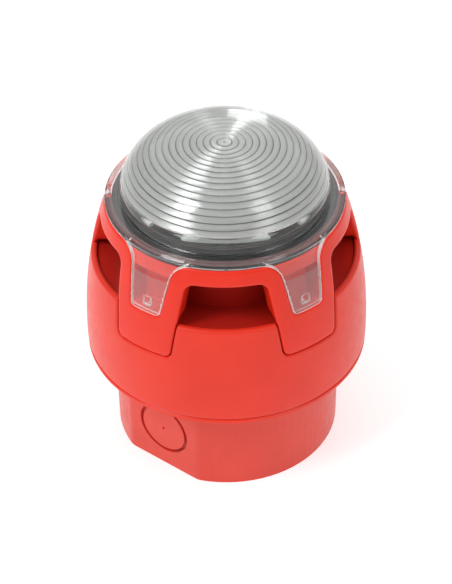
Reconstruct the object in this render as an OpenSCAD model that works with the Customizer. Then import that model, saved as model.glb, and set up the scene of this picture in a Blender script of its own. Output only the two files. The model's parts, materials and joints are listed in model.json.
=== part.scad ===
// Horn strobe for a fire alarm: a deep wall base, a twist-on sounder head and a clear
// beacon lens. Millimetres. +Z points out of the wall, and the origin is the centre of the
// face that lies against the wall. An angle phi is counted from -Y towards +X.

/* [Head] */
// Largest radius of the head
body_r = 48.6; // [48.4:0.1:49]
// Radius of the head at its shoulder, under the lens flange
shoulder_r = 39.9; // [39.7:0.1:40.3]
// Wall of the red mouldings
shell_t = 2.2; // [2:0.1:2.3]
// Height of the lip under the sound outlets
lip_z = 74.6; // [74.3:0.1:74.9]

/* [Base] */
// Radius of the base
base_r = 39.4; // [39.2:0.1:40]
// Distance from the axis to a cable entry flat
base_flat = 36.6; // [36.4:0.1:36.8]
// Height of the base
base_h = 35.8; // [35.6:0.1:35.8]
// Wall of the base
base_t = 2.5; // [2.3:0.1:2.6]
// Radius of the hole that a cable entry leaves when it is knocked out
entry_r = 10.25; // [10:0.05:10.4]

/* [Lens] */
// Radius of the dome
dome_r = 34.6; // [34.3:0.1:34.7]
// Height of the dome above its edge
dome_h = 17.4; // [16:0.1:20]
// Pitch of the rings inside the dome, along its curve
ring_pitch = 2.2; // [2.1:0.1:2.4]
// Depth of each ring
ring_depth = 0.6; // [0.3:0.1:0.7]
// Wall of the lens
lens_t = 2; // [1.8:0.1:2.1]

/* [Electronics] */
// Travel of a switch lever
lever_travel = 2; // [1.6:0.1:2]
// Radius of the sounder disc
disc_r = 24.8; // [24:0.1:25]

/* [Hidden] */
$fn = 96;

// Head profile
straight_top = 40;                       // the wall is upright up to here
shoulder_z = 94.9;                       // top of the red frame
taper_power = 2.2;
cowl_z = 38.9;                           // bottom of the cowl
profile_step = 3;

// Legs and outlets, which take turns round the head
leg_count = 5;
pitch_deg = 360 / leg_count;
leg_phi = pitch_deg / 2;
leg_z = 62;                              // lower end of a leg
leg_half = 11.7;                         // half its width at the lip
leg_slope = 5.3;                         // its sides lean out by this angle
leg_corner = 2.2;
leg_gap = 0.3;
leg_depth = 8.5;
outlet_half = 16.2;                      // half the width of an outlet at the lip
outlet_slope = 7.6;                      // the side of an outlet leans in by this angle
outlet_top = 89.3;
outlet_corner = 3.2;

// Clear tabs of the lens, each in the face of a leg
tab_z = 76.1;
tab_half = 6;                            // half its width near the lower end
tab_slope = 7.6;
tab_corner = 1.5;
tab_flare = 5.5;
tab_gap = 0.2;
pocket_inset = 0.3;                      // the hollow behind a tab is smaller than the tab by this
pocket_top = 88.9;
pocket_r = 37.4;
hook_w = 3.4;
hook_h = 3;
hook_z = 77.6;
hook_r = 41.6;

// Deck under the lens
deck_z = 90.6;
deck_t = 2.2;
deck_top = deck_z + deck_t;
deck_hole_r = 7;
seal_in = 34.5;
seal_out = 37.5;
seal_h = 2.1;
seal_rib = 0.4;
seal_lip_r = 39.1;                       // a thin lip of the gasket lies in a rebate of the frame's top
seal_lip_t = 0.6;

// Lens
flange_z = 96.9;
flange_under = 95;
dome_z = 99.8;
dome_power = 3.6;                        // how square the dome's outline is
dome_root = 0.59;
skirt_r = 34;
skirt_z = 93.3;
ring_end_z = 100.1;                      // the rings go down to here

// Rear cover, with the bayonet spigot that turns in the base
cover_z = 36.6;
cover_t = cowl_z - cover_z;
cover_r = 48.5;
cover_edge = 0.7;
spigot_r = 30.8;
spigot_t = 2.2;
spigot_z = 24;
post_r = 3.2;                            // posts under the legs that take the frame screws
post_ring = 41.6;
post_z = 41.8;
lug_count = 3;
lug_r = 32.7;
lug_z = 27.1;
lug_h = 3;
lug_deg = 20;
lug_start = 0.5;
keep_r = 31.2;                           // the base's own lugs reach in to here
keep_z = 30.4;
keep_h = 2.6;
keep_deg = 24;
keep_stop_deg = 4;
collar_r = 33;
collar_z = 26.5;

// Base
floor_t = 3;
entry_phi = -37.5;                       // one cable entry looks this way, and the other away from it
entry_z = 16.6;
entry_web = 0.8;
groove_w = 1.25;
seal_groove_r = 34.4;
base_seal_wire = 0.9;
corner_r = 6;                            // where a flat runs into the round wall
slot_spacing = 60;
slot_r = 2.25;
slot_len = 9;
hole_spacing = 50.8;
hole_r = 2.25;

// Terminals, contacts and boards
carrier_z = 14;
carrier_t = 2.5;
carrier_r = 27.5;
carrier_top = carrier_z + carrier_t;
carrier_post_y = 14;
terminal_count = 6;
terminal_ring = 23;
contact_ring = 18;
spring_top = 21.5;
pin_r = 0.9;
pin_clear = 0.15;
pin_collar_r = 1.7;
board_z = 42.4;
board_t = 1.6;
board_r = 34.5;
board_top = board_z + board_t;
board_post_ring = 26;
lever_count = 6;
lever_pitch = 2.54;
lever_size = 1.4;
lever_w = 1.1;
switch_z = 37.6;
volume_y = -9;
volume_r = 3.3;
rotor_r = 2.4;

// Sounder
disc_z = 62;
disc_t = 0.3;
chamber_r = 25.6;
chamber_t = 2;
chamber_z = 55;
cap_flange_r = 31.5;
cap_z = 53;
cap_ring = 29.6;                         // the screws of the sounder cap stand on this radius
boss_r = 2.6;
horn_floor_in = 69.5;                    // the horn's floor falls from the lip to this height
horn_floor_out = 73.2;
tube_r = 27.5;
port_w = 14;                             // the sound leaves the tube through ports under the deck
port_h = 7;
port_z = 81.5;
cable_w = 8;
cable_t = 0.4;
cable_ring = 30.2;
cable_room = 1;                          // the cable passes slots that run this far in and out from it
duct_w = 11;                             // the cable crosses the horn inside a duct
duct_r = 32.2;

// Lamp
lamp_board_r = 31.2;
lamp_board_t = 1.6;
lamp_top = deck_top + lamp_board_t;
lamp_screw_ring = 25.2;
emitter_w = 3.4;
emitter_x = 4;                           // the four emitters stand this far from the axis in x
emitter_y = 3.2;                         // and this far in y
optic_r = 9.4;
reflector_r = 32.2;
reflector_floor = lamp_top + 1.2;
reflector_t = 1;
reflector_bend = 14;                     // the dish is flat up to this radius
window_w = 4;                            // each emitter shows through a window this wide
reflector_z = 99.6;                      // underside of its rim
reflector_flat = 29.8;                   // distance from the axis to a flat of the rim
notch_half = 6;
notch_r = 29.6;

// ---- Shapes that repeat ----

function arc(c, r, a0, a1, n) =
    [for (i = [0:n]) let (a = a0 + (a1 - a0) * i / n) c + r * [cos(a), sin(a)]];
function mirrored(points) = [for (i = [len(points) - 1:-1:0]) [-points[i][0], points[i][1]]];

// The head's curve is followed in short straight steps, which every shell shares
function step_z(i) = straight_top + i * profile_step;
function step_r(i) =
    let (s = max(0, step_z(i) - straight_top) / (shoulder_z - straight_top))
    body_r - (body_r - shoulder_r) * pow(s, taper_power);

// Outer radius of the head at height z
function body_at(z) =
    let (s = max(0, z - straight_top) / profile_step, i = floor(s))
    step_r(i) + (step_r(i + 1) - step_r(i)) * (s - i);

// Heights from a to b, with every step between them
function heights(a, b) =
    concat([a], [for (i = [0:20]) if (step_z(i) > a + 0.01 && step_z(i) < b - 0.01) step_z(i)], [b]);

// A shell of the head between two heights, from inset to inset + t inside its outer face
module head_shell(a, b, t, inset = 0) {
    zs = heights(a, b);
    rotate_extrude() polygon(concat(
        [for (z = zs) [body_at(z) - inset, z]],
        [for (i = [len(zs) - 1:-1:0]) [body_at(zs[i]) - inset - t, zs[i]]]
    ));
}

// A trapezium with its wide side at z0 and rounded corners at z1, above or below z0
function trapezium(half, z0, slope, z1, rc) =
    let (up = z1 > z0 ? 1 : -1, zc = z1 - up * rc,
         xc = half - abs(zc - z0) * tan(slope) - rc / cos(slope),
         side = concat([[half, z0]], arc([xc, zc], rc, up * slope, up * 90, 8)))
    concat(side, mirrored(side));

// One side of an outlet runs straight in towards the axis: this outline is seen along that side
function outlet_side(z0) =
    let (rc = outlet_corner, zc = outlet_top - rc,
         xc = -(zc - lip_z) * tan(outlet_slope) - rc / cos(outlet_slope))
    concat([[(lip_z - z0) * tan(outlet_slope), z0]], arc([xc, zc], rc, outlet_slope, 90, 8),
        [[-2 * outlet_half - 4, outlet_top], [-2 * outlet_half - 4, z0]]);

module outlet_cut(z0) {
    side_phi = asin(outlet_half / body_at(lip_z));
    intersection() {
        radial(side_phi, 20, 60) polygon(outlet_side(z0));
        radial(-side_phi, 20, 60) polygon(mirrored(outlet_side(z0)));
    }
}

// The tab's outline runs out into the flange in a hollow curve
function tab_outline(g) =
    let (half = tab_half + g, zb = tab_z - g, rc = tab_corner + g, rf = tab_flare - g, s = tab_slope,
         zc = zb + rc, xc = half + (zc - tab_z - tab_corner) * tan(s) - rc / cos(s) + rc * sin(s) * tan(s),
         zf = flange_under + 0.15 - rf, xf = half + (zf - tab_z - tab_corner) * tan(s) + rf / cos(s),
         side = concat(arc([xc, zc], rc, -90, -s, 6), arc([xf, zf], rf, 180 - s, 90, 8),
             [[xf, flange_under + 0.6]]))
    concat(side, mirrored(side));

// Pushes an outline, drawn with x sideways and y upwards, outwards along phi from radius r0 to r1
module radial(phi, r0, r1) {
    rotate([0, 0, phi]) translate([0, -r0, 0]) rotate([90, 0, 0]) linear_extrude(r1 - r0) children();
}

module each_leg() {
    for (i = [0:leg_count - 1]) rotate([0, 0, leg_phi + i * pitch_deg]) children();
}

module each_outlet() {
    for (i = [0:leg_count - 1]) rotate([0, 0, i * pitch_deg]) children();
}

// A point at radius r on a ring of n
module ring_of(n, r, start = 0) {
    for (i = [0:n - 1]) rotate([0, 0, start + i * 360 / n]) translate([0, -r, 0]) children();
}

module tube(r, t, z0, z1) {
    translate([0, 0, z0]) difference() {
        cylinder(r = r, h = z1 - z0);
        translate([0, 0, -1]) cylinder(r = r - t, h = z1 - z0 + 2);
    }
}

// A piece of a ring, from angle a by w degrees
module ring_piece(r0, r1, z0, h, a, w) {
    translate([0, 0, z0]) linear_extrude(h)
        polygon(concat(arc([0, 0], r1, a - 90, a - 90 + w, 6), arc([0, 0], r0, a - 90 + w, a - 90, 6)));
}

// A screw with a cross recess: the seat of its head is at 0, and its shank points down
module pan_screw(shank_r, length, head_r, head_h) {
    difference() {
        union() {
            translate([0, 0, -length]) cylinder(r = shank_r, h = length + head_h / 2, $fn = 24);
            cylinder(r = head_r, h = head_h, $fn = 32);
        }
        for (a = [0, 90]) rotate([0, 0, a])
            box_at([head_r * 1.2, head_r * 0.22, head_h], [0, 0, head_h]);
    }
}

module o_ring(r, wire, z) {
    translate([0, 0, z]) rotate_extrude() translate([r, 0]) circle(r = wire, $fn = 32);
}

module box_at(size, centre) {
    translate(centre - size / 2) cube(size);
}

// ---- Base ----

function base_outline(r, d, rf) =
    let (c = d - rf, s = sqrt((r - rf) * (r - rf) - c * c), b = atan2(s, c))
    concat(
        arc([0, 0], r, b - 90, 90 - b, 30), arc([s, c], rf, 90 - b, 90, 6),
        arc([-s, c], rf, 90, 90 + b, 6), arc([0, 0], r, 90 + b, 270 - b, 30),
        arc([-s, -c], rf, 270 - b, 270, 6), arc([s, -c], rf, 270, 270 + b, 6)
    );

module base_prism(inset, z0, z1) {
    translate([0, 0, z0]) rotate([0, 0, entry_phi]) linear_extrude(z1 - z0)
        polygon(base_outline(base_r - inset, base_flat - inset, corner_r - inset));
}

module base_walls() {
    difference() {
        base_prism(0, 0, base_h);
        base_prism(base_t, floor_t, collar_z);
        translate([0, 0, collar_z - 1]) cylinder(r = collar_r, h = base_h);
    }
}

// The groove that a knock-out breaks along, with a dimple to start a drill
module entry_groove() {
    depth = base_t - entry_web;
    translate([0, -base_flat, entry_z]) rotate([90, 0, 0]) {
        translate([0, 0, -depth]) difference() {
            cylinder(r = entry_r, h = depth + 1);
            translate([0, 0, -1]) cylinder(r = entry_r - groove_w, h = depth + 3);
        }
        translate([0, 0, -0.5]) cylinder(r = 0.6, h = 2, $fn = 24);
    }
}

module wall_slot(x) {
    half = slot_len / 2 - slot_r;
    translate([x, 0, -1]) {
        for (s = [-half, half]) translate([s, 0, 0]) cylinder(r = slot_r, h = floor_t + 2, $fn = 32);
        translate([-half, -slot_r, 0]) cube([2 * half, 2 * slot_r, floor_t + 2]);
    }
}

module base_shell() {
    color("#d8402f") {
        difference() {
            base_walls();
            for (a = [0, 180]) rotate([0, 0, entry_phi + a]) entry_groove();
            for (s = [-1, 1]) {
                wall_slot(s * slot_spacing / 2);
                translate([0, s * hole_spacing / 2, -1]) cylinder(r = hole_r, h = floor_t + 2, $fn = 32);
            }
            translate([0, 0, -1]) difference() {
                cylinder(r = entry_r, h = 1 + floor_t - entry_web);
                translate([0, 0, -1]) cylinder(r = entry_r - groove_w, h = floor_t + 3);
            }
        }
        for (s = [-1, 1]) translate([0, s * carrier_post_y, floor_t - 0.5]) difference() {
            cylinder(r = 3.2, h = carrier_z - floor_t + 0.5, $fn = 40);
            translate([0, 0, 2]) cylinder(r = 1.3, h = carrier_z, $fn = 24);
        }
        for (i = [0:lug_count - 1]) {
            a = i * 360 / lug_count;
            ring_piece(keep_r, collar_r + 0.8, keep_z, keep_h, a, keep_deg);
            ring_piece(keep_r, collar_r + 0.8, lug_z, keep_z + keep_h - lug_z, a - keep_stop_deg,
                keep_stop_deg);
        }
    }
}

// Barriers stand between the terminals, and a screwdriver reaches the wall screws past the edge
module terminal_carrier() {
    driver_r = 4.6;
    color("#2a2a2c") difference() {
        union() {
            translate([0, 0, carrier_z]) cylinder(r = carrier_r, h = carrier_t);
            ring_of(terminal_count, terminal_ring + 3.2)
                box_at([9, 2, 4.4], [0, 0, carrier_top + 1.8]);
        }
        translate([0, 0, carrier_z - 1]) {
            for (s = [-1, 1]) {
                translate([0, s * carrier_post_y, 0]) cylinder(r = 1.6, h = carrier_t + 2, $fn = 24);
                translate([0, s * hole_spacing / 2, 0]) cylinder(r = driver_r, h = carrier_t + 9, $fn = 40);
                translate([s * slot_spacing / 2, 0, 0]) cylinder(r = driver_r, h = carrier_t + 9, $fn = 40);
            }
            cylinder(r = 6, h = carrier_t + 2, $fn = 48);
        }
        ring_of(terminal_count, terminal_ring, 30)
            translate([0, 0, carrier_top - 1.6]) cylinder(r = 1.7, h = 3, $fn = 24);
    }
}

module carrier_screws() {
    color("#b9bcc0") for (s = [-1, 1])
        translate([0, s * carrier_post_y, carrier_top]) pan_screw(1.25, 8, 2.7, 1.8);
}

module terminal_clamps() {
    color("#c9a24a") ring_of(terminal_count, terminal_ring, 30) difference() {
        box_at([6.5, 5, 1], [0, 0, carrier_top + 0.5]);
        translate([0, 0, carrier_top - 1]) cylinder(r = 1.6, h = 3, $fn = 24);
    }
}

module terminal_screws() {
    color("#b9bcc0") ring_of(terminal_count, terminal_ring, 30)
        translate([0, 0, carrier_top + 1]) pan_screw(1.5, 2.4, 2.4, 1.6);
}

// Each spring stands on the carrier and carries a flat that a pin of the head slides onto
module contact_springs() {
    color("#c9a24a") ring_of(terminal_count, contact_ring, 30)
        rotate([90, 0, 90]) translate([0, 0, -2.25]) linear_extrude(4.5) polygon([
            [-2.4, carrier_top], [2.2, carrier_top], [2.2, carrier_top + 0.5], [-1.6, carrier_top + 0.5],
            [-1.6, spring_top - 0.5], [2.4, spring_top - 0.5], [2.4, spring_top], [-2.1, spring_top],
            [-2.1, carrier_top + 0.5], [-2.4, carrier_top + 0.5]
        ]);
}

// ---- Rear cover and what it holds ----

module rear_cover() {
    color("#cf3b2b") difference() {
        union() {
            rotate_extrude() polygon([
                [0, cover_z], [cover_r - cover_edge, cover_z], [cover_r, cover_z + cover_edge],
                [cover_r, cowl_z - cover_edge], [cover_r - cover_edge, cowl_z], [0, cowl_z]
            ]);
            tube(body_at(cowl_z) - shell_t - 0.3, 1.6, cowl_z - 0.5, cowl_z + 2);
            tube(spigot_r, spigot_t, spigot_z, cover_z + 0.5);
            for (i = [0:lug_count - 1])
                ring_piece(spigot_r - 0.5, lug_r, lug_z, lug_h, i * 360 / lug_count + lug_start, lug_deg);
            each_leg() translate([0, -post_ring, cowl_z - 0.5])
                cylinder(r = post_r + 1, h = post_z - cowl_z + 0.4, $fn = 40);
            ring_of(3, board_post_ring, 60) translate([0, 0, cowl_z - 0.5])
                cylinder(r = 3, h = board_z - cowl_z + 0.5, $fn = 40);
        }
        each_leg() translate([0, -post_ring, cover_z - 1]) {
            cylinder(r = 1.7, h = 9, $fn = 24);
            cylinder(r = 3.1, h = 3.4, $fn = 32);
        }
        ring_of(3, board_post_ring, 60)
            translate([0, 0, cowl_z]) cylinder(r = 1.05, h = board_z - cowl_z + 1, $fn = 24);
        tube(seal_groove_r + 1.05, 2.1, cover_z - 1, cover_z + 1.2);
        box_at([lever_count * lever_pitch + 3.2, 8.2, 6], [0, 0, cover_z + 1]);
        translate([0, volume_y, cover_z - 1]) cylinder(r = volume_r + 0.4, h = 5, $fn = 40);
        ring_of(terminal_count, contact_ring, 30)
            translate([0, 0, cover_z - 1]) cylinder(r = pin_r + 0.15, h = 5, $fn = 24);
    }
}

module base_seal() {
    color("#1c1c1e") o_ring(seal_groove_r, base_seal_wire, base_h + 0.05 + base_seal_wire);
}

module contact_pins() {
    color("#d9b65c") ring_of(terminal_count, contact_ring, 30) {
        translate([0, 0, spring_top + pin_clear])
            cylinder(r = pin_r, h = board_top + 1 - spring_top - pin_clear, $fn = 24);
        translate([0, 0, cowl_z + 0.1]) cylinder(r = pin_collar_r, h = board_z - cowl_z - 0.2, $fn = 24);
    }
}

module main_board() {
    color("#2f6b3c") difference() {
        translate([0, 0, board_z]) cylinder(r = board_r, h = board_t);
        ring_of(3, board_post_ring, 60) translate([0, 0, board_z - 1]) cylinder(r = 1.25, h = 4, $fn = 24);
        ring_of(terminal_count, contact_ring, 30)
            translate([0, 0, board_z - 1]) cylinder(r = pin_r + 0.05, h = 4, $fn = 24);
    }
}

module board_screws() {
    color("#b9bcc0") ring_of(3, board_post_ring, 60) translate([0, 0, board_top]) pan_screw(1, 4.4, 2.2, 1.6);
}

function lever_x(i) = (i - (lever_count + 1) / 2) * lever_pitch;

module switch_body() {
    color("#1f4f9a") difference() {
        box_at([lever_count * lever_pitch + 2.4, 7.4, board_z - switch_z], [0, 0, (board_z + switch_z) / 2]);
        for (i = [1:lever_count])
            box_at([lever_w + 0.3, lever_travel + lever_size + 0.2, 2], [lever_x(i), 0, switch_z]);
    }
}

// At rest each lever is at the -Y end of its slot
module switch_lever(i) {
    color("#f2f2ef")
        box_at([lever_w, lever_size, 1.7], [lever_x(i), -lever_travel / 2, switch_z + 0.05]);
}

module volume_body() {
    color("#3b5fa8") translate([0, volume_y, 0]) difference() {
        translate([0, 0, switch_z + 0.2]) cylinder(r = volume_r, h = board_z - switch_z - 0.2, $fn = 40);
        translate([0, 0, switch_z - 1]) cylinder(r = rotor_r + 0.1, h = 2.2, $fn = 40);
    }
}

module volume_rotor() {
    color("#e8e6df") translate([0, volume_y, 0]) difference() {
        translate([0, 0, switch_z - 0.7]) cylinder(r = rotor_r, h = 1.8, $fn = 40);
        box_at([3.6, 0.7, 1.2], [0, 0, switch_z - 0.7]);
    }
}

module driver_chips() {
    color("#202124") {
        box_at([7, 7, 1.4], [-8, 6, board_top + 0.7]);
        box_at([6.2, 5, 1.6], [8, -9, board_top + 0.8]);
        box_at([5, 4, 1.6], [-2, -20, board_top + 0.8]);
    }
}

module capacitors() {
    color("#2d3440") for (p = [[12, 6, 4], [-14, -8, 4], [9, 23, 3.15]])
        translate([p[0], p[1], board_top]) cylinder(r = p[2], h = 8, $fn = 40);
}

module step_up_coil() {
    color("#6b4a2b") translate([-20, 8, board_top]) difference() {
        cylinder(r = 5.5, h = 6.4, $fn = 48);
        translate([0, 0, 1.2]) tube(6, 1.9, 0, 4);
        translate([0, 0, 3]) cylinder(r = 1.4, h = 6, $fn = 24);
    }
}

// ---- Sounder and horn ----

module sounder_cap() {
    color("#b8372a") difference() {
        union() {
            translate([0, 0, cap_z]) cylinder(r = chamber_r - 0.5, h = disc_z - 1.6 - cap_z);
            translate([0, 0, cap_z]) cylinder(r = cap_flange_r, h = chamber_z - cap_z - 0.1);
        }
        translate([0, 0, cap_z + 2]) cylinder(r = chamber_r - 3, h = 20);
        ring_of(3, cap_ring) translate([0, 0, cap_z - 1]) cylinder(r = 1.3, h = 5, $fn = 24);
        translate([0, 6, cap_z - 1]) cylinder(r = 2.4, h = 5, $fn = 32);
        radial(180, cable_ring - 1.4, cap_flange_r + 2)
            translate([-duct_w / 2, cap_z - 1]) square([duct_w, 4]);
    }
}

module cap_screws() {
    color("#b9bcc0") ring_of(3, cap_ring)
        translate([0, 0, cap_z]) rotate([180, 0, 0]) pan_screw(1.15, 7, 2.2, 1.5);
}

module disc_support_ring() {
    color("#e6e2d8") tube(disc_r + 0.3, 2.6, disc_z - 1.55, disc_z - 0.02);
}

module sounder_disc() {
    color("#d4ad55") translate([0, 0, disc_z]) cylinder(r = disc_r, h = disc_t);
}

module sounder_ceramic() {
    color("#ece9e0") translate([0, 0, disc_z - 0.26]) cylinder(r = disc_r * 0.66, h = 0.24);
}

// Two thin leads from the board up to the ceramic
module sounder_wires() {
    color("#c0392b") for (s = [-1, 1]) {
        translate([s * 0.9, 6, board_top]) cylinder(r = 0.45, h = disc_z - 0.3 - board_top, $fn = 16);
    }
}

// The slot that the cable passes, from height z0 upwards
module cable_slot(z0) {
    radial(180, cable_ring - cable_room, cable_ring + cable_room)
        translate([-cable_w / 2 - 0.5, z0]) square([cable_w + 1, 40]);
}

// The tube over the disc, the horn floor that falls in towards it, and the bosses under the floor
module horn_body() {
    rim_r = body_at(horn_floor_out) - shell_t - 0.35;
    tube_top = deck_z - 0.05;
    color("#b02418") difference() {
        union() {
            rotate_extrude() polygon([
                [tube_r - 0.5, horn_floor_in - 2], [rim_r, horn_floor_out - 2], [rim_r, horn_floor_out],
                [tube_r - 0.5, horn_floor_in]
            ]);
            tube(tube_r, 1.9, chamber_z, tube_top);
            tube(rim_r, 1.6, horn_floor_out - 6, horn_floor_out - 1);
            tube(chamber_r + 0.5, 3.1, disc_z + disc_t + 0.02, disc_z + disc_t + 1.6);
            ring_of(3, cap_ring) translate([0, 0, chamber_z])
                cylinder(r = boss_r, h = horn_floor_in - chamber_z, $fn = 32);
            radial(180, tube_r - 1, duct_r)
                translate([-duct_w / 2, horn_floor_in - 2]) square([duct_w, tube_top - horn_floor_in + 2]);
        }
        ring_of(3, cap_ring) translate([0, 0, chamber_z - 1]) cylinder(r = 1.2, h = 7, $fn = 24);
        each_leg() translate([0, -post_ring, 60]) cylinder(r = post_r + 0.3, h = 20, $fn = 40);
        for (i = [0:leg_count - 1]) radial(i * pitch_deg, chamber_r - 3, tube_r + 2)
            translate([-port_w / 2, port_z]) square([port_w, port_h]);
        cable_slot(60);
    }
}

// The outer bell, with a notch in its lip for each leg
module outer_cowl() {
    edge = 0.5;
    color("#e5402c") difference() {
        union() {
            head_shell(cowl_z + edge, lip_z - edge, shell_t);
            rotate_extrude() polygon([
                [body_r - edge, cowl_z], [body_r, cowl_z + edge], [body_r - shell_t, cowl_z + edge],
                [body_r - shell_t, cowl_z]
            ]);
            rotate_extrude() polygon([
                [body_at(lip_z - edge), lip_z - edge], [body_at(lip_z) - edge, lip_z],
                [body_at(lip_z) - shell_t + 0.2, lip_z], [body_at(lip_z - edge) - shell_t, lip_z - edge]
            ]);
        }
        for (i = [0:leg_count - 1]) radial(leg_phi + i * pitch_deg, 30, 60)
            polygon(trapezium(leg_half + leg_gap, lip_z + 1, leg_slope, leg_z - leg_gap,
                leg_corner + leg_gap));
    }
}

module leg_screen(i, top) {
    intersection() {
        head_shell(leg_z - 1, top, shell_t);
        radial(leg_phi + i * pitch_deg, 30, 60)
            polygon(trapezium(leg_half, lip_z + 0.5, leg_slope, leg_z, leg_corner));
    }
}

module horn_frame() {
    z0 = lip_z + 0.2;
    color("#f0452f") {
        difference() {
            union() {
                head_shell(z0, deck_z + 0.2, leg_depth);
                head_shell(deck_z - 0.5, shoulder_z, shell_t);
                translate([0, 0, deck_z]) cylinder(r = body_at(deck_top) - 1, h = deck_t);
            }
            for (i = [0:leg_count - 1]) {
                rotate([0, 0, i * pitch_deg]) outlet_cut(z0 - 1);
                difference() {
                    radial(leg_phi + i * pitch_deg, 30, 60) polygon(tab_outline(tab_gap));
                    head_shell(tab_z - 4, shoulder_z + 3, 30, shell_t + 0.1);
                }
                radial(leg_phi + i * pitch_deg, pocket_r, 60) intersection() {
                    polygon(tab_outline(-pocket_inset));
                    translate([-20, tab_z - 1]) square([40, pocket_top - tab_z + 1]);
                }
            }
            translate([0, 0, shoulder_z - seal_lip_t]) cylinder(r = seal_lip_r + 0.1, h = 3);
            translate([0, 0, deck_z - 1]) cylinder(r = deck_hole_r, h = 5, $fn = 48);
            cable_slot(70);
            ring_of(3, lamp_screw_ring) translate([0, 0, deck_z - 1]) cylinder(r = 0.9, h = 5, $fn = 24);
        }
        for (i = [0:leg_count - 1]) leg_screen(i, z0);
        each_leg() translate([0, -post_ring, post_z]) difference() {
            cylinder(r = post_r, h = z0 + 0.5 - post_z, $fn = 40);
            translate([0, 0, -1]) cylinder(r = 1.3, h = 17, $fn = 24);
        }
    }
}

module frame_screws() {
    color("#b9bcc0") each_leg()
        translate([0, -post_ring, cover_z + 2.4]) rotate([180, 0, 0]) pan_screw(1.25, 16, 2.9, 1.8);
}

// Flat cable from the main board up behind the rear leg to the lamp board
module lamp_cable() {
    color("#c9cbd0") radial(180, cable_ring - cable_t / 2, cable_ring + cable_t / 2)
        translate([-cable_w / 2, board_top]) square([cable_w, deck_top - 0.05 - board_top]);
}

// ---- Lamp ----

module lamp_board() {
    color("#1d211f") difference() {
        translate([0, 0, deck_top]) cylinder(r = lamp_board_r, h = lamp_board_t);
        ring_of(3, lamp_screw_ring) translate([0, 0, deck_top - 1]) cylinder(r = 1.1, h = 5, $fn = 24);
    }
}

module lamp_screws() {
    color("#b9bcc0") ring_of(3, lamp_screw_ring) translate([0, 0, lamp_top]) pan_screw(0.85, 3.6, 1.9, 1);
}

module lamp_emitters() {
    color("#dfe0a8") for (i = [-1, 1], j = [-1, 1])
        box_at([emitter_w, emitter_w, 0.8], [i * emitter_x, j * emitter_y, lamp_top + 0.4]);
}

// A clear cap over the emitters, which lies on the dish
module lamp_optic() {
    under = reflector_floor + reflector_t + 0.05;
    color("#dfe6ea") rotate_extrude() polygon([
        [0, under], [optic_r, under], [optic_r, under + 0.8], [optic_r * 0.7, under + 1.4],
        [optic_r * 0.35, under + 1.7], [0, under + 1.8]
    ]);
}

// A shallow dish with a window for each emitter, a flat behind each outlet and a notch behind each leg
module reflector() {
    color("#d9dad6") difference() {
        rotate_extrude() polygon([
            [0, reflector_floor], [reflector_bend, reflector_floor], [reflector_r, reflector_z],
            [reflector_r, reflector_z + reflector_t], [reflector_bend, reflector_floor + reflector_t],
            [0, reflector_floor + reflector_t]
        ]);
        for (i = [-1, 1], j = [-1, 1])
            box_at([window_w, window_w, 6], [i * emitter_x, j * emitter_y, reflector_floor]);
        for (i = [0:leg_count - 1]) {
            radial(i * pitch_deg, reflector_flat, 40) translate([-20, lamp_top]) square([40, 10]);
            radial(leg_phi + i * pitch_deg, notch_r, 40)
                translate([-notch_half, lamp_top]) square([2 * notch_half, 10]);
        }
    }
}

// A flat gasket between the deck and the lens flange, with a rib above and a lip cut away for each tab
module lens_seal() {
    z0 = deck_top + 0.05;
    top = z0 + seal_h;
    face = top - seal_rib;
    mid = (seal_in + seal_out) / 2;
    lip = shoulder_z - seal_lip_t + 0.05;
    tab_top = max([for (p = tab_outline(tab_gap)) p[0]]);
    color("#18181a") {
        rotate_extrude() polygon([
            [seal_in, z0], [seal_out, z0], [seal_out, face], [mid + 0.7, face], [mid + 0.4, top],
            [mid - 0.4, top], [mid - 0.7, face], [seal_in, face]
        ]);
        difference() {
            rotate_extrude() polygon([
                [seal_out - 0.4, lip], [seal_lip_r, lip], [seal_lip_r, top], [seal_out, top],
                [seal_out - 0.4, face]
            ]);
            for (i = [0:leg_count - 1])
                radial(leg_phi + i * pitch_deg, seal_out / 2, 60)
                    translate([-tab_top, face - 1]) square([2 * tab_top, 3]);
        }
    }
}

function dome_at(r, grow) =
    dome_z + (dome_h + grow) * pow(max(0, 1 - pow(r / (dome_r + grow), dome_power)), dome_root);

// The inside of the dome before it gets rings: lengths along it from the axis, with the point there
function dome_inside() =
    let (n = 90, r_in = dome_r - lens_t,
         at = [for (i = [0:n]) let (r = r_in * sin(90 * i / n)) [r, dome_at(r, -lens_t)]],
         step = [for (i = [0:n]) i == 0 ? 0 : norm(at[i] - at[i - 1])],
         along = [for (s = 0, i = 0; i <= n; s = s + step[i], i = i + 1) s + step[i]])
    [for (i = [0:n]) [along[i], at[i][0], at[i][1]]];

function unit(v) = v / norm(v);

// The point at length s along that curve, moved by d into the dome. r_of and z_of are tables by length
function moved_in(r_of, z_of, s, d) =
    let (e = 0.2, a = [lookup(s - e, r_of), lookup(s - e, z_of)],
         u = unit([lookup(s + e, r_of), lookup(s + e, z_of)] - a))
    [max(0, lookup(s, r_of) + d * u[1]), lookup(s, z_of) - d * u[0]];

// One saw-tooth a ring, on the inside of the dome
function ring_points() =
    let (curve = dome_inside(), r_of = [for (c = curve) [c[0], c[1]]], z_of = [for (c = curve) [c[0], c[2]]])
    [for (k = [0:24]) if (lookup((k + 1) * ring_pitch, z_of) > ring_end_z) for (end = [0, 1])
        moved_in(r_of, z_of, (k + end * 0.86) * ring_pitch, end == 0 ? ring_depth : 0)];

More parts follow.
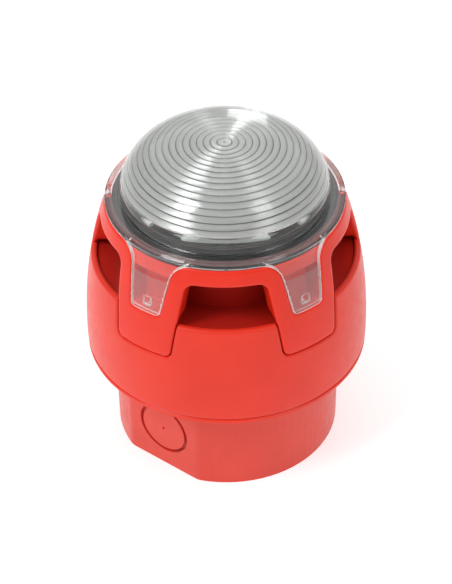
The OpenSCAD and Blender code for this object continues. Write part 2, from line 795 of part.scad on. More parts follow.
module lens() {
    dome = [for (i = [0:24]) let (r = dome_r * sin(90 * i / 24)) [r, dome_at(r, 0)]];
    rings = ring_points();
    inner_r = dome_r - lens_t;
    rim_r = body_at(flange_under);
    color("#e9edf0") {
        rotate_extrude() polygon(concat(
            dome,
            [[dome_r, dome_z - 0.4], [skirt_r, dome_z - 0.7], [skirt_r, flange_z + 0.3],
             [skirt_r + 0.4, flange_z], [rim_r - 1.3, flange_z - 0.1], [rim_r - 0.4, flange_z - 0.6],
             [rim_r, flange_under],
             [skirt_r, flange_under], [skirt_r, skirt_z], [inner_r, skirt_z], [inner_r, dome_z + 0.1]],
            [for (i = [len(rings) - 1:-1:0]) rings[i]]
        ));
        for (i = [0:leg_count - 1]) intersection() {
            head_shell(tab_z - 1, flange_under, lens_t);
            radial(leg_phi + i * pitch_deg, 30, 60) polygon(tab_outline(0));
        }
        for (i = [0:leg_count - 1])
            radial(leg_phi + i * pitch_deg, hook_r, body_at(hook_z + hook_h) - lens_t + 0.5)
                translate([-hook_w / 2, hook_z]) square([hook_w, hook_h]);
    }
}

base_shell();
terminal_carrier();
carrier_screws();
terminal_clamps();
terminal_screws();
contact_springs();
rear_cover();
base_seal();
contact_pins();
main_board();
board_screws();
switch_body();
switch_lever(1);  // switch_lever_1
switch_lever(2);  // switch_lever_2
switch_lever(3);  // switch_lever_3
switch_lever(4);  // switch_lever_4
switch_lever(5);  // switch_lever_5
switch_lever(6);  // switch_lever_6
volume_body();
volume_rotor();
driver_chips();
capacitors();
step_up_coil();
sounder_cap();
cap_screws();
disc_support_ring();
sounder_disc();
sounder_ceramic();
sounder_wires();
horn_body();
outer_cowl();
horn_frame();
frame_screws();
lamp_cable();
lamp_board();
lamp_screws();
lamp_emitters();
lamp_optic();
reflector();
lens_seal();
lens();
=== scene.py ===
"""A horn strobe for a fire alarm, dressed for its picture: red mouldings, clear ringed lens, rubber seal."""
import json
import math

import bpy
import numpy as np
from mathutils import Matrix, Vector


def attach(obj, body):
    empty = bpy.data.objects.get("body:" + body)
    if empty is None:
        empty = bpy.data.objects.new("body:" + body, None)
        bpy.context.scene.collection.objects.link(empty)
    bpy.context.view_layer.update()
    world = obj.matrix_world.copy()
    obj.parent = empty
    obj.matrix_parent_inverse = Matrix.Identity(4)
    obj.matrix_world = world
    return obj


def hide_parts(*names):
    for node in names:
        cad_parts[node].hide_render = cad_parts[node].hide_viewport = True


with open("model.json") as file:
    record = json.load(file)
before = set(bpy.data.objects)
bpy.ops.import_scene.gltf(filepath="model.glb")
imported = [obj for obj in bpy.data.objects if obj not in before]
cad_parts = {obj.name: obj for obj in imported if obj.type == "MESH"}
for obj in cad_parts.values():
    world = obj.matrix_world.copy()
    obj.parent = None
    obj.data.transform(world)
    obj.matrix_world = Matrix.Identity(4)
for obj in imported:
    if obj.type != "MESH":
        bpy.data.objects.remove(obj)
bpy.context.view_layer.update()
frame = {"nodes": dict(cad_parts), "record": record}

MM = 0.001
NODES = frame["nodes"]

# ---- Sizes, in millimetres and degrees, as in the CAD model ----

# The head's skin, straight up to STRAIGHT_TOP and curving in from there to the shoulder
BODY_R, SHOULDER_R = 48.6, 39.9
STRAIGHT_TOP, SHOULDER_Z, TAPER = 40.0, 94.9, 2.2
SHELL_T = 2.2
# The lower bell and the upper frame, which meet at the lip
COWL_Z, LIP_Z = 38.9, 74.6
FRAME_Z = LIP_Z + 0.2
# Legs, sound outlets, and the tabs of the lens with their hooks
LEG_COUNT = 5
PITCH = math.radians(360 / LEG_COUNT)
LEG_Z, LEG_TOP, LEG_HALF, LEG_SLOPE, LEG_CORNER, LEG_GAP = 62.0, 86.0, 11.7, 5.3, 2.2, 0.3
OUTLET_HALF, OUTLET_SLOPE, OUTLET_TOP, OUTLET_CORNER = 16.2, 12.3, 89.3, 3.0
TAB_Z, TAB_HALF, TAB_SLOPE, TAB_CORNER, TAB_FLARE, TAB_GAP = 76.1, 6.0, 7.6, 1.5, 5.5, 0.2
HOOK_HALF, HOOK_LOW, HOOK_HIGH, HOOK_R, HOOK_OUT = 1.7, 77.6, 80.6, 41.6, 43.4
# Inside the frame. START and END are depths below the skin.
DECK_Z, DECK_TOP, DECK_START, DECK_END = 90.6, 92.8, 1.2, 10.8
BLOCK_START, BLOCK_END = 0.6, 8.5
POCKET_START, POCKET_END, POCKET_TOP, POCKET_GAP = 1.0, 7.4, 88.9, -0.3
REBATE_R, REBATE_DEPTH = 39.2, 0.6
# The lens: flange, skirt, dome, and the rings inside the dome
FLANGE_UNDER, FLANGE_TOP = 95.0, 96.9
SKIRT_R, SKIRT_Z, LENS_T = 34.0, 93.3, 2.0
DOME_R, DOME_Z, DOME_H, DOME_POWER, DOME_ROOT = 34.6, 99.8, 17.4, 3.6, 0.59
RING_PITCH, RING_DEPTH, RING_END_Z = 2.2, 0.6, 100.1


def body_at(z):
    """Outer radius of the head at height z."""
    up = np.clip(np.asarray(z, float) - STRAIGHT_TOP, 0, None) / (SHOULDER_Z - STRAIGHT_TOP)
    return BODY_R - (BODY_R - SHOULDER_R) * up ** TAPER


# ---- Signed distances, joined with rounded edges ----

def both(a, b, k=0.0):
    """The part inside a and b, with the edge between them rounded over k."""
    if k == 0:
        return np.maximum(a, b)
    h = np.clip(0.5 - 0.5 * (b - a) / k, 0, 1)
    return b + (a - b) * h + k * h * (1 - h)


def either(a, b, k=0.0):
    """a and b together, with the hollow edge between them rounded over k."""
    return -both(-a, -b, k)


def cut(a, b, k=0.0):
    """a with b cut out of it, with the edge between them rounded over k."""
    return both(a, -b, k)


def corner(a, b, r):
    """The part inside two edges that meet in a corner of radius r."""
    qa, qb = a + r, b + r
    return np.minimum(np.maximum(qa, qb), 0) + np.hypot(np.maximum(qa, 0), np.maximum(qb, 0)) - r


def slab(x, low, high):
    """The part between low and high."""
    return np.maximum(low - x, x - high)


def lean(x, half, z, z0, slope):
    """Distance past a side that is half away at z0 and leans out going up, for a slope in degrees."""
    s = math.radians(slope)
    return (x - half - (z - z0) * math.tan(s)) * math.cos(s)


def leg_outline(x, z, grow=0.0):
    """The leg, wider towards its top, with rounded lower corners."""
    side = lean(x, LEG_HALF + grow, z, LIP_Z, LEG_SLOPE)
    return corner(side, LEG_Z - grow - z, LEG_CORNER + grow)


def outlet_outline(x, z):
    """A sound outlet, narrower towards its top, with rounded upper corners."""
    side = lean(x, OUTLET_HALF, z, LIP_Z, -OUTLET_SLOPE)
    return corner(side, z - OUTLET_TOP, OUTLET_CORNER)


def tab_outline(x, z, grow=0.0):
    """The tab, with the hollow curve that runs out into the flange above it."""
    side = lean(x, TAB_HALF + grow, z, TAB_Z + TAB_CORNER, TAB_SLOPE)
    stem = corner(side, TAB_Z - grow - z, TAB_CORNER + grow)
    above = FLANGE_UNDER - grow - z
    return -corner(-stem, -above, TAB_FLARE - grow)


# ---- Meshes from signed distances ----

def surface_net(field, along):
    """Vertices, quads and vertex numbers by cell, where field changes sign on a grid.

    along holds the grid's coordinates for each axis. Axis 0 is an angle that closes on itself."""
    field = np.concatenate([field, field[:1]], 0)
    along = [np.append(along[0], along[0][0] + 2 * math.pi), along[1], along[2]]
    cells = tuple(n - 1 for n in field.shape)
    total, count = np.zeros(cells + (3,)), np.zeros(cells, np.int32)
    crossings = []
    for a in range(3):
        low = tuple(slice(0, -1) if i == a else slice(None) for i in range(3))
        high = tuple(slice(1, None) if i == a else slice(None) for i in range(3))
        f0, f1 = field[low], field[high]
        at = np.argwhere((f0 < 0) != (f1 < 0))
        v0, v1 = f0[tuple(at.T)], f1[tuple(at.T)]
        point = np.stack([along[i][at[:, i]] for i in range(3)], 1)
        point[:, a] += v0 / (v0 - v1) * (along[a][at[:, a] + 1] - along[a][at[:, a]])
        # across axis 0, the last plane of the grid repeats the first
        repeated = (at[:, 0] == cells[0]) & (a != 0)
        b, c = (a + 1) % 3, (a + 2) % 3
        neighbours = []
        for db, dc in ((-1, -1), (0, -1), (0, 0), (-1, 0)):
            cell = at.copy()
            cell[:, b] += db
            cell[:, c] += dc
            turns = cell[:, 0] // cells[0]
            cell[:, 0] -= turns * cells[0]
            good = np.all((cell >= 0) & (cell < np.array(cells)), 1)
            moved = point.copy()
            moved[:, 0] -= 2 * math.pi * turns
            use = good & ~repeated
            own = tuple(cell[use].T)
            np.add.at(total, own, moved[use])
            np.add.at(count, own, 1)
            neighbours.append((cell, good))
        crossings.append((v0 < 0, neighbours, repeated))
    number = np.full(cells, -1, np.int64)
    live = count > 0
    number[live] = np.arange(live.sum())
    verts = total[live] / count[live][:, None]
    quads = []
    for first_in, neighbours, repeated in crossings:
        ok = np.all([good for _, good in neighbours], 0) & ~repeated
        ids = np.stack([number[tuple(cell[ok].T)] for cell, _ in neighbours], 1)
        flip = ~first_in[ok]
        ids[flip] = ids[flip][:, ::-1]
        quads.append(ids)
    return verts, np.concatenate(quads), number


def mesh_object(name, verts_mm, faces, smooth_angle=35.0):
    """A mesh object from positions in millimetres. faces is an array of quads or a list of tuples."""
    mesh = bpy.data.meshes.new(name)
    mesh.from_pydata((np.asarray(verts_mm) * MM).tolist(), [], [tuple(int(i) for i in f) for f in faces])
    mesh.validate()
    mesh.update()
    mesh.polygons.foreach_set("use_smooth", [True] * len(mesh.polygons))
    mesh.set_sharp_from_angle(angle=math.radians(smooth_angle))
    ob = bpy.data.objects.new(name, mesh)
    bpy.context.scene.collection.objects.link(ob)
    return ob


def around(fine, coarse, spans):
    """Angles round the head: fine steps in spans counted from a leg's middle, and coarse ones between."""
    half = PITCH / 2
    marks = [0.0]
    while marks[-1] < half - 1e-9:
        a = math.degrees(marks[-1])
        step = fine if any(lo <= a < hi for lo, hi in spans) else coarse
        marks.append(min(half, marks[-1] + math.radians(step)))
    marks = np.array(marks) * half / marks[-1]
    sector = np.concatenate([-marks[::-1], marks[1:]])[:-1]
    return np.concatenate([sector + half + i * PITCH for i in range(LEG_COUNT)])


def steps(*knots):
    """Coordinates from knots given as (end, step) pairs after the first value."""
    out = [knots[0]]
    for end, step in knots[1:]:
        n = max(1, round((end - out[-1]) / step))
        out += list(out[-1] + (end - out[-1]) * np.arange(1, n + 1) / n)
    return np.array(out)


def folded(phi):
    """Angle from the nearest leg's middle, from 0 to half a pitch."""
    return np.abs(phi % PITCH - PITCH / 2)


def polar(phi, r, z):
    """Positions from the angle, the radius and the height. Angle 0 is in front."""
    return np.stack([r * np.sin(phi), -r * np.cos(phi), z], -1)


# ---- Materials ----

SHINE_ROUGH, SHINE_STRETCH = 0.28, 0.85


class Nodes:
    """A small helper that wires up one material."""

    def __init__(self, name):
        self.mat = bpy.data.materials.new(name)
        self.mat.use_nodes = True
        self.tree = self.mat.node_tree
        self.tree.nodes.clear()
        self.out = self.tree.nodes.new("ShaderNodeOutputMaterial")

    def add(self, kind, **inputs):
        n = self.tree.nodes.new(kind)
        for key, value in inputs.items():
            self.put(n, key, value)
        return n

    def put(self, n, key, value):
        socket = n.inputs[key.replace("_", " ")]
        if isinstance(value, bpy.types.NodeSocket):
            self.tree.links.new(value, socket)
        else:
            socket.default_value = value

    def coords(self):
        return self.add("ShaderNodeTexCoord").outputs["Object"]

    def noise(self, scale, detail=2.0, rough=0.5, vector=None):
        n = self.add("ShaderNodeTexNoise", Scale=scale, Detail=detail, Roughness=rough)
        self.put(n, "Vector", vector or self.coords())
        return n.outputs["Fac"]

    def ramp(self, fac, *stops):
        n = self.add("ShaderNodeValToRGB")
        self.put(n, "Fac", fac)
        elements = n.color_ramp.elements
        elements[0].position, elements[0].color = stops[0][0], colour(stops[0][1])
        elements[1].position, elements[1].color = stops[-1][0], colour(stops[-1][1])
        for pos, col in stops[1:-1]:
            elements.new(pos).color = colour(col)
        return n.outputs["Color"]

    def span(self, fac, low, high, lo_in=0.0, hi_in=1.0):
        n = self.add("ShaderNodeMapRange")
        ends = {"From Min": lo_in, "From Max": hi_in, "To Min": low, "To Max": high}
        for key, value in {"Value": fac, **ends}.items():
            self.put(n, key, value)
        return n.outputs["Result"]

    def bump(self, height, strength, distance):
        n = self.add("ShaderNodeBump", Strength=strength, Distance=distance, Height=height)
        return n.outputs["Normal"]

    def mix(self, share, first, second):
        n = self.add("ShaderNodeMixShader", Fac=share)
        self.tree.links.new(first, n.inputs[1])
        self.tree.links.new(second, n.inputs[2])
        return n.outputs["Shader"]

    def surface(self, shader):
        self.tree.links.new(shader, self.out.inputs["Surface"])
        return self.mat


def colour(c):
    return c if len(c) == 4 else (*c, 1.0)


def moulded(name, base, rough=(0.28, 0.42), grain=0.15, shift=0.06, specular=0.5, sheen=0.0):
    """Injection-moulded plastic: slight flow marks in the colour and a fine spark-eroded grain."""
    m = Nodes(name)
    where = m.coords()
    flow = m.noise(45.0, 3.0, 0.55, where)
    dark = tuple(c * (1 - shift) for c in base)
    light = tuple(min(1.0, c * (1 + shift) + 0.004) for c in base)
    fine = m.noise(2600.0, 2.0, 0.6, where)
    patch = m.noise(320.0, 3.0, 0.6, where)
    normal = m.bump(fine, grain, 0.00006)
    p = m.add("ShaderNodeBsdfPrincipled")
    m.put(p, "Base Color", m.ramp(flow, (0.3, dark), (0.7, light)))
    m.put(p, "Roughness", m.span(patch, rough[0], rough[1], 0.3, 0.7))
    m.put(p, "Normal", normal)
    p.inputs["IOR"].default_value = 1.5
    p.inputs["Specular IOR Level"].default_value = specular
    p.inputs["Sheen Weight"].default_value = sheen
    p.inputs["Sheen Roughness"].default_value = 0.35
    return m.surface(p.outputs["BSDF"])


def metal(name, base, rough=(0.2, 0.38)):
    """Plated or bare metal with faint cloudy patches."""
    m = Nodes(name)
    where = m.coords()
    fine = m.noise(900.0, 3.0, 0.6, where)
    patch = m.noise(120.0, 3.0, 0.6, where)
    p = m.add("ShaderNodeBsdfPrincipled", Metallic=1.0)
    dark = tuple(c * 0.86 for c in base)
    m.put(p, "Base Color", m.ramp(patch, (0.3, dark), (0.7, base)))
    m.put(p, "Roughness", m.span(fine, rough[0], rough[1], 0.3, 0.7))
    m.put(p, "Normal", m.bump(fine, 0.12, 0.00004))
    return m.surface(p.outputs["BSDF"])


def lets_light(m, shader, tint):
    """Clear plastic that lamps shine through."""
    path = m.add("ShaderNodeLightPath")
    clear = m.add("ShaderNodeBsdfTransparent", Color=colour(tint))
    return m.surface(m.mix(path.outputs["Is Shadow Ray"], shader, clear.outputs["BSDF"]))


def clear_plastic(name, tint=(0.97, 0.98, 0.98), rough=(0.015, 0.05), ripple=0.04, haze_and_painted_light_share=0.0,
                  haze_and_painted_light=(0.9, 0.9, 0.9), shine=0.0, light=(0.93, 0.95, 0.95)):
    """Acrylic. A share of it scatters light diffusely in a given colour, which is haze in some finishes and
    painted shade, a painted highlight or a painted reflection in others; shine of it mirrors the lamps
    softly.

    light is how much of a lamp's light gets through."""
    m = Nodes(name)
    where = m.coords()
    cloud = m.noise(70.0, 3.0, 0.6, where)
    p = m.add("ShaderNodeBsdfPrincipled")
    m.put(p, "Base Color", m.ramp(cloud, (0.3, tuple(c * 0.985 for c in tint)), (0.7, tint)))
    m.put(p, "Roughness", m.span(cloud, rough[0], rough[1], 0.35, 0.75))
    normal = m.bump(cloud, ripple, 0.0002)
    m.put(p, "Normal", normal)
    p.inputs["Transmission Weight"].default_value = 1.0
    p.inputs["IOR"].default_value = 1.49
    shader = p.outputs["BSDF"]
    if shine:
        gloss = m.add("ShaderNodeBsdfAnisotropic", Roughness=SHINE_ROUGH, Anisotropy=SHINE_STRETCH)
        tangent = m.add("ShaderNodeTangent")
        tangent.direction_type, tangent.axis = "RADIAL", "Z"
        m.put(gloss, "Tangent", tangent.outputs["Tangent"])
        m.put(gloss, "Normal", normal)
        shader = m.mix(shine, shader, gloss.outputs["BSDF"])
    if haze_and_painted_light_share:
        scatter = m.add("ShaderNodeBsdfDiffuse", Color=colour(haze_and_painted_light))
        shader = m.mix(haze_and_painted_light_share, shader, scatter.outputs["BSDF"])
    return lets_light(m, shader, light)


MATERIALS = {
    "head_red": moulded("HeadRed", (0.78, 0.031, 0.0105), (0.32, 0.44), 0.05, 0.05, 0.3, 0.12),
    "frame_red": moulded("FrameRed", (0.80, 0.026, 0.008), (0.28, 0.40), 0.02, 0.05, 0.32),
    "base_red": moulded("BaseRed", (0.72, 0.052, 0.030), (0.36, 0.50), 0.06, 0.05, 0.35, 0.2),
    "inner_red": moulded("InnerRed", (0.52, 0.016, 0.008), (0.30, 0.44), 0.10, 0.06, 0.5),
    "black_moulding": moulded("BlackMoulding", (0.022, 0.022, 0.024), (0.40, 0.55), 0.15, 0.2),
    "seal_rubber": moulded("SealRubber", (0.012, 0.012, 0.013), (0.38, 0.55), 0.10, 0.2),
    "switch_blue": moulded("SwitchBlue", (0.02, 0.075, 0.36), (0.35, 0.5)),
    "lever_white": moulded("LeverWhite", (0.80, 0.80, 0.77), (0.35, 0.5)),
    "capacitor_sleeve": moulded("CapacitorSleeve", (0.02, 0.025, 0.05), (0.25, 0.4), 0.05, 0.15),
    "ferrite": moulded("Ferrite", (0.045, 0.036, 0.03), (0.5, 0.7), 0.3, 0.2),
    "ring_nylon": moulded("RingNylon", (0.66, 0.62, 0.50), (0.4, 0.55)),
    "ceramic": moulded("Ceramic", (0.74, 0.71, 0.62), (0.5, 0.7), 0.2),
    "wire_red": moulded("WireRed", (0.50, 0.03, 0.02), (0.3, 0.45)),
    "cable_grey": moulded("CableGrey", (0.46, 0.47, 0.49), (0.35, 0.5)),
    "emitter_yellow": moulded("EmitterYellow", (0.48, 0.52, 0.26), (0.2, 0.35), 0.05),
    "board_green": moulded("BoardGreen", (0.02, 0.16, 0.05), (0.25, 0.4), 0.05, 0.15),
    "board_black": moulded("BoardBlack", (0.016, 0.018, 0.016), (0.3, 0.45), 0.05, 0.15),
    "reflector_white": moulded("ReflectorWhite", (0.50, 0.51, 0.48), (0.16, 0.28), 0.04, 0.05, 0.8),
    "zinc_screw": metal("ZincScrew", (0.62, 0.63, 0.65)),
    "terminal_brass": metal("TerminalBrass", (0.72, 0.53, 0.22)),
    "disc_brass": metal("DiscBrass", (0.78, 0.60, 0.28), (0.25, 0.4)),
    "optic_clear": clear_plastic("OpticClear"),
    "lens_clear": clear_plastic("LensClear", light=(0.72, 0.72, 0.72)),
}
# Finishes of the lens, in the order of the numbers below. The risers finish is painted shade: dark lines
# between two rings and a dark wall at the dome's foot. The edges finish is a painted highlight on the cut
# edges of the tabs, the hooks and the flange, and the flange finish a painted pink reflection of the red
# frame.
LENS_FINISHES = [
    MATERIALS["lens_clear"],
    clear_plastic("LensRings", (0.86, 0.87, 0.85), (0.14, 0.22), haze_and_painted_light_share=0.24, haze_and_painted_light=(0.46, 0.465, 0.44),
                  shine=0.66),
    # painted shade: a dark diffuse share that darkens the valleys between rings and the wall at the dome's
    # foot
    clear_plastic("LensRisersPaintedShade", rough=(0.15, 0.25), haze_and_painted_light_share=0.62, haze_and_painted_light=(0.13, 0.135, 0.13)),
    # painted highlight: a pale diffuse share on the cut edges, which makes them look lit
    clear_plastic("LensEdgesPaintedHighlight", rough=(0.10, 0.20), haze_and_painted_light_share=0.52, haze_and_painted_light=(0.95, 0.86, 0.84)),
    clear_plastic("LensDome", rough=(0.07, 0.13), ripple=0.1),
    clear_plastic("LensTabs", (0.92, 0.91, 0.91), (0.03, 0.08), haze_and_painted_light_share=0.3, haze_and_painted_light=(0.34, 0.31, 0.31)),
    # painted reflection: a pink diffuse share on the flange's outer top, for the red frame seen in it
    clear_plastic("LensFlangePaintedReflection", rough=(0.03, 0.08), haze_and_painted_light_share=0.12, haze_and_painted_light=(0.85, 0.42, 0.40)),
]
CLEAR, RINGS, PAINTED_SHADE, PAINTED_HIGHLIGHT, DOME, TABS, PAINTED_REFLECTION = range(len(LENS_FINISHES))


def dress(ob, slot):
    ob.data.materials.clear()
    ob.data.materials.append(MATERIALS[slot])


# ---- Pieces that replace plain CAD solids. Their grids are finer where an edge is. ----

def frame_piece():
    """The upper red frame: deck, five outlets, and five legs with a recess and a pocket for the lens tab."""
    skin_edge, block_edge, outlet_edge, inner_edge = 1.1, 2.0, 0.15, 0.3
    phi = around(0.45, 1.0, ((3.0, 23.0),))
    z = steps(61.2, (63.0, 0.25), (74.0, 0.7), (78.0, 0.3), (88.0, 0.6), (95.5, 0.25))
    depth = steps(-0.4, (2.8, 0.32), (8.0, 0.8), (9.2, 0.3), (11.4, 0.7))
    p, zz, w = np.meshgrid(phi, z, depth, indexing="ij")
    leg = folded(p)
    r = body_at(zz)
    x_leg, x_out = r * np.sin(leg), r * np.sin(PITCH / 2 - leg)
    band = slab(zz, FRAME_Z, SHOULDER_Z)
    opening = outlet_outline(x_out, zz)
    legs = both(leg_outline(x_leg, zz), zz - LEG_TOP)
    skin_2d = either(cut(band, opening, outlet_edge), legs, outlet_edge)
    skin = both(skin_2d, slab(w, 0, SHELL_T), skin_edge)
    block_2d = cut(slab(zz, FRAME_Z, DECK_TOP), opening, block_edge)
    block = both(block_2d, slab(w, BLOCK_START, BLOCK_END), skin_edge)
    deck = both(slab(zz, DECK_Z, DECK_TOP), slab(w, DECK_START, DECK_END), inner_edge)
    solid = either(either(skin, block, inner_edge), deck, inner_edge)
    recess = both(tab_outline(x_leg, zz, TAB_GAP), w - SHELL_T - 0.1)
    rebate = both(SHOULDER_Z - REBATE_DEPTH - zz, r - w - REBATE_R)
    pocket_2d = both(tab_outline(x_leg, zz, POCKET_GAP), zz - POCKET_TOP, 0.5)
    pocket = both(pocket_2d, slab(w, POCKET_START, POCKET_END))
    solid = cut(cut(solid, rebate), recess, 0.25)
    solid = cut(solid, pocket, 0.4)
    verts, quads, _ = surface_net(solid, [phi, z, depth])
    place = polar(verts[:, 0], body_at(verts[:, 1]) - verts[:, 2], verts[:, 1])
    return mesh_object("Sounder_frame", place, quads[:, ::-1])


def cowl_piece():
    """The lower red bell, with a notch for each leg in its rounded lip."""
    phi = around(0.45, 1.5, ((10.5, 16.5),))
    z = steps(38.4, (40.2, 0.22), (60.5, 2.4), (64.5, 0.3), (73.0, 0.8), (76.0, 0.25))
    depth = steps(-0.4, (2.6, 0.3))
    p, zz, w = np.meshgrid(phi, z, depth, indexing="ij")
    x_leg = body_at(zz) * np.sin(folded(p))
    shell = both(slab(zz, COWL_Z, LIP_Z), slab(w, 0, SHELL_T), 1.0)
    shell = cut(shell, leg_outline(x_leg, zz, LEG_GAP), 0.7)
    verts, quads, _ = surface_net(shell, [phi, z, depth])
    place = polar(verts[:, 0], body_at(verts[:, 1]) - verts[:, 2], verts[:, 1])
    return mesh_object("Sounder_cowl", place, quads[:, ::-1])


def dome_z(r, inset):
    """Height of the dome at radius r, for its outside or for a wall of thickness inset."""
    t = np.clip(r / (DOME_R - inset), 0, 1)
    return DOME_Z + (DOME_H - inset) * (1 - t ** DOME_POWER) ** DOME_ROOT


def dome_inside():
    """The smooth inside of the dome from the axis outwards: lengths along it, radii and heights."""
    r = (DOME_R - LENS_T) * np.sin(np.linspace(0, math.pi / 2, 400))
    z = dome_z(r, LENS_T)
    return np.concatenate([[0.0], np.cumsum(np.hypot(np.diff(r), np.diff(z)))]), r, z


RING_PARTS = 10                          # rows in one ring
RING_FADE = 8.0                          # the rings get shallower over this length at the dome's foot
CLEAR_BELOW = 102.6                      # the rings' finish ends at this height


def ring_profile():
    """Rounded ridges inside the dome, from its foot to the axis: radius, height and finish of each row."""
    length, r, z = dome_inside()
    dr, dz = np.gradient(r, length), np.gradient(z, length)
    count = int(np.interp(-RING_END_Z, -z, length) / RING_PITCH)
    rows = []
    for k in range(count * RING_PARTS, 0, -1):
        s = k * RING_PITCH / RING_PARTS
        fade = min(1.0, 0.4 + (count * RING_PITCH - s) / RING_FADE)
        deep = RING_DEPTH * abs(math.sin(math.pi * k / RING_PARTS)) * fade
        at = [float(np.interp(s, length, v)) for v in (r, z, dr, dz)]
        # the two rows in each valley between rings get the painted shade, as dark lines
        finish = PAINTED_SHADE if k % RING_PARTS in (0, 1) else RINGS
        if at[1] < CLEAR_BELOW:
            finish = DOME
        rows.append((max(0.05, at[0] + deep * at[3]), at[1] - deep * at[2], finish))
    return rows


HIGHLIGHT_WIDTH, HOOK_HIGHLIGHT_WIDTH = 0.42, 0.4          # how wide the painted highlights on the edges are
REFLECTION_PAINT_R = 37.0                     # the flange's top gets the painted pink reflection outside this radius


def net_finishes(verts, quads):
    """Finish of each face below the dome: painted highlights on the edges, tab fronts, a painted reflection
    on the flange, painted shade on its inner wall, clear elsewhere.
    """
    middle = verts[quads].mean(1)
    phi, z, r = middle.T
    x_leg = body_at(z) * np.sin(folded(phi))
    inside = -tab_outline(x_leg, z)
    deep = body_at(z) - r
    tab = (r > SKIRT_R + 1.0) & (z < FLANGE_UNDER - 0.3)
    # rim marks the cut edges of the tabs, the flange and the hooks, which get the painted highlight
    rim = tab & (np.abs(inside) < HIGHLIGHT_WIDTH)
    rim |= (r > body_at(FLANGE_UNDER) - 0.5) & (np.abs(z - FLANGE_UNDER) < HIGHLIGHT_WIDTH) & (inside < HIGHLIGHT_WIDTH)
    hook_edge = np.maximum(x_leg - HOOK_HALF, slab(z, HOOK_LOW, HOOK_HIGH)) > -HOOK_HIGHLIGHT_WIDTH
    rim |= tab & (deep > LENS_T + 0.1) & hook_edge
    finish = np.where(tab & (deep < 0.6) & (z < POCKET_TOP), TABS, CLEAR)
    # painted reflection of the red frame on the flange's outer top
    finish = np.where((z > FLANGE_TOP - 0.4) & (r > REFLECTION_PAINT_R), PAINTED_REFLECTION, finish)
    # painted shade: the inside of the skirt is dark
    finish = np.where((r < SKIRT_R + 0.1) & (z > FLANGE_UNDER), PAINTED_SHADE, finish)
    return list(np.where(rim, PAINTED_HIGHLIGHT, finish))


def lens_net():
    """The flange, skirt, tabs and hooks of the lens up to the dome's foot, as a surface net."""
    phi = around(0.5, 1.2, ((2.0, 18.0),))
    z = steps(76.2, (79.5, 0.3), (81.8, 0.35), (92.6, 0.6), (97.4, 0.2), (98.2, 0.4))
    radius = steps(31.9, (33.0, 0.3), (35.0, 0.25), (38.5, 0.5), (45.6, 0.3))
    p, zz, r = np.meshgrid(phi, z, radius, indexing="ij")
    outer = body_at(zz)
    x_leg = outer * np.sin(folded(p))
    wall = both(slab(r, DOME_R - LENS_T, SKIRT_R), FLANGE_UNDER - zz)
    skirt = both(slab(r, DOME_R - LENS_T, SKIRT_R), slab(zz, SKIRT_Z, FLANGE_TOP), 0.3)
    rim = both(slab(zz, FLANGE_UNDER, FLANGE_TOP), r - body_at(FLANGE_UNDER), 1.3)
    flange = both(rim, DOME_R - 0.8 - r)
    tab_2d = both(tab_outline(x_leg, zz), zz - FLANGE_UNDER - 0.5)
    tab = both(tab_2d, slab(outer - r, 0, LENS_T), 0.45)
    hook = both(both(x_leg - HOOK_HALF, slab(zz, HOOK_LOW, HOOK_HIGH)), slab(r, HOOK_R, HOOK_OUT))
    solid = either(either(wall, skirt, 0.2), flange, 0.5)
    solid = either(either(solid, tab, 0.3), hook, 0.2)
    return surface_net(solid, [phi, z, radius])


def open_rings(verts, number):
    """The two rings of vertices where the net stops at its top: on the wall's inside and outside."""
    ring_in, ring_out = [], []
    for row in number[:, -1, :]:
        own = sorted((i for i in row if i >= 0), key=lambda i: verts[i, 2])
        ring_in.append(own[0])
        ring_out.append(own[-1])
    return ring_in, ring_out


def lens_piece():
    """Dome, flange and tabs in one clear moulding: the net below, carried on upwards by turned rows."""
    verts, quads, number = lens_net()
    ring_in, ring_out = open_rings(verts, number)
    angle = verts[ring_out, 0]
    z_top = float(verts[ring_out, 1].mean())
    all_verts = [polar(verts[:, 0], verts[:, 2], verts[:, 1])]
    all_faces = [tuple(q) for q in quads]
    finishes = net_finishes(verts, quads)

    def turned(profile, ring, outward):
        """Rows of quads from a ring of vertices to the axis, where the last point of the profile is."""
        below = list(ring)
        n = len(ring)
        for radius, height, finish in profile:
            base = sum(len(v) for v in all_verts)
            finishes.extend([finish] * n)
            if radius == 0:
                all_verts.append(np.array([[0, 0, height]]))
                faces = [(below[i], below[(i + 1) % n], base) for i in range(n)]
            else:
                all_verts.append(polar(angle, np.full(n, radius), np.full(n, height)))
                row = list(range(base, base + n))
                faces = [(below[i], below[(i + 1) % n], row[(i + 1) % n], row[i]) for i in range(n)]
                below = row
            all_faces.extend(faces if outward else [f[::-1] for f in faces])

    # the bead at the dome's foot: how far out from the skirt and how far above the dome's foot each point is
    bead = ((0.0, -0.9), (0.05, -0.72), (0.25, -0.55), (0.48, -0.4), (0.6, -0.2))
    # the bead's upper rows get the painted highlight, its lowest rows the painted shade
    outside = [(SKIRT_R + out, DOME_Z + over, PAINTED_HIGHLIGHT if over > -0.6 else PAINTED_SHADE) for out, over in bead]
    for share in np.sin(np.linspace(math.pi / 2, 0, 34))[:-1]:
        outside.append((DOME_R * share, float(dome_z(DOME_R * share, 0)), DOME))
    turned(outside + [(0.0, float(dome_z(0, 0)), DOME)], ring_out, True)
    inner_r = DOME_R - LENS_T
    # the inside of the wall at the dome's foot gets the painted shade
    start = [(inner_r, (z_top + DOME_Z) / 2, PAINTED_SHADE), (inner_r, DOME_Z, PAINTED_SHADE)]
    turned(start + ring_profile() + [(0.0, float(dome_z(0, LENS_T)), RINGS)], ring_in, False)
    return mesh_object("Beacon_lens", np.concatenate(all_verts), all_faces, 28.0), finishes


def finish_piece(ob, body, slot, *nodes):
    """Gives a piece its material and its body, and hides the CAD nodes that it stands for."""
    dress(ob, slot)
    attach(ob, body)
    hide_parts(*nodes)


SHADE_PAINT_R = 34.7                      # the deck is painted black inside this radius, as shade

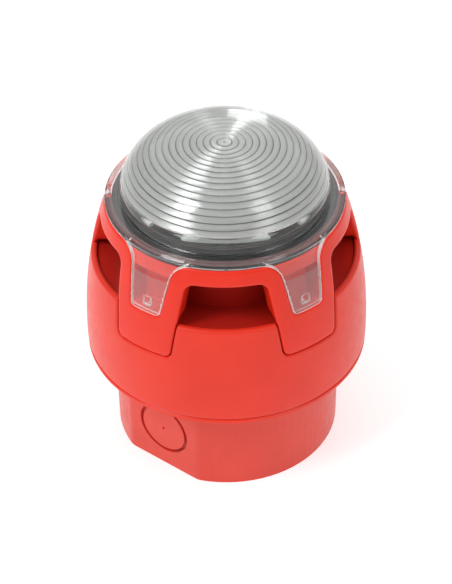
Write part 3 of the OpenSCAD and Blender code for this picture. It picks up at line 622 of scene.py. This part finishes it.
sounder_frame = frame_piece()
finish_piece(sounder_frame, "head", "frame_red", "horn_frame")
# Painted shade: the deck's faces inside that radius take the black rubber material, to darken the deck under
# the lens.
sounder_frame.data.materials.append(MATERIALS["seal_rubber"])
shade_paint_faces = [int(p.center.xy.length < SHADE_PAINT_R * MM) for p in sounder_frame.data.polygons]
sounder_frame.data.polygons.foreach_set("material_index", shade_paint_faces)
finish_piece(cowl_piece(), "head", "head_red", "outer_cowl")
lens, lens_faces = lens_piece()
finish_piece(lens, "head", "lens_clear", "lens")
for finish in LENS_FINISHES[1:]:
    lens.data.materials.append(finish)
lens.data.polygons.foreach_set("material_index", lens_faces)

# ---- CAD nodes that stay, with smooth shading and their materials ----

SLOTS = {s["node"]: s["material_slot"] for s in frame["record"]["subparts"]}
for name, ob in NODES.items():
    dress(ob, SLOTS[name])
    ob.data.polygons.foreach_set("use_smooth", [True] * len(ob.data.polygons))
    ob.data.set_sharp_from_angle(angle=math.radians(30))

# ---- Camera ----

TARGET = Vector((-0.1, 0.0, 53.4)) * MM
ELEVATION, ROLL = math.radians(39.768), math.radians(0.718)
DISTANCE = 585.7 * MM
LENS_MM, SENSOR_MM = 104.474, 36.0
right = Vector((1, 0, 0))
forward = Vector((0, math.cos(ELEVATION), -math.sin(ELEVATION)))
up = Vector((0, math.sin(ELEVATION), math.cos(ELEVATION)))
cam_x = right * math.cos(ROLL) - up * math.sin(ROLL)
cam_y = right * math.sin(ROLL) + up * math.cos(ROLL)
camera = bpy.data.objects.new("Camera", bpy.data.cameras.new("Camera"))
bpy.context.scene.collection.objects.link(camera)
turn = Matrix((cam_x, cam_y, -forward)).transposed().to_4x4()
camera.matrix_world = Matrix.Translation(TARGET - forward * DISTANCE) @ turn
camera.data.sensor_width = SENSOR_MM
camera.data.lens = LENS_MM
camera.data.clip_start, camera.data.clip_end = 0.01, 20.0
bpy.context.scene.camera = camera

# ---- Floor and light ----

def floor():
    """A wide sheet of white paper that glows a little, so that it renders white."""
    size = 3000.0
    corners = [(-size, -size, 0), (size, -size, 0), (size, size, 0), (-size, size, 0)]
    ob = mesh_object("Floor", corners, [(0, 1, 2, 3)])
    m = Nodes("FloorPaper")
    p = m.add("ShaderNodeBsdfPrincipled", Roughness=0.9)
    tone = m.noise(6.0, 2.0)
    m.put(p, "Base Color", m.ramp(tone, (0.3, (0.71, 0.71, 0.71)), (0.7, (0.73, 0.73, 0.73))))
    p.inputs["Specular IOR Level"].default_value = 0.1
    p.inputs["Emission Color"].default_value = (1.0, 1.0, 1.0, 1.0)
    p.inputs["Emission Strength"].default_value = 0.5
    ob.data.materials.append(m.surface(p.outputs["BSDF"]))


floor()
world = bpy.data.worlds.new("Studio")
bpy.context.scene.world = world
world.use_nodes = True
world.node_tree.nodes["Background"].inputs["Color"].default_value = (1.0, 1.0, 1.0, 1.0)
world.node_tree.nodes["Background"].inputs["Strength"].default_value = 0.43


AIM = Vector((0, 0, 70)) * MM


def softbox(name, azimuth, elevation, distance, width, height, watts):
    """A rectangular lamp that looks at AIM. Lengths in metres. Azimuth 0 is in front, 90 on the right."""
    a, e = math.radians(azimuth), math.radians(elevation)
    lamp = bpy.data.lights.new(name, "AREA")
    lamp.shape, lamp.size, lamp.size_y, lamp.energy = "RECTANGLE", width, height, watts
    ob = bpy.data.objects.new(name, lamp)
    away = Vector((math.sin(a) * math.cos(e), -math.cos(a) * math.cos(e), math.sin(e)))
    ob.location = AIM + distance * away
    ob.rotation_euler = (-away).to_track_quat("-Z", "Y").to_euler()
    bpy.context.scene.collection.objects.link(ob)


softbox("KeyLeft", -55, 48, 1.3, 0.4, 0.55, 7.3)
softbox("TopBack", 170, 62, 1.2, 2.2, 1.8, 8)
softbox("BackLow", 174.5, 15, 1.4, 0.22, 0.5, 1.2)
softbox("FillRight", 50, 46, 1.5, 0.45, 0.6, 3.0)

bpy.context.scene.view_settings.view_transform = "Standard"
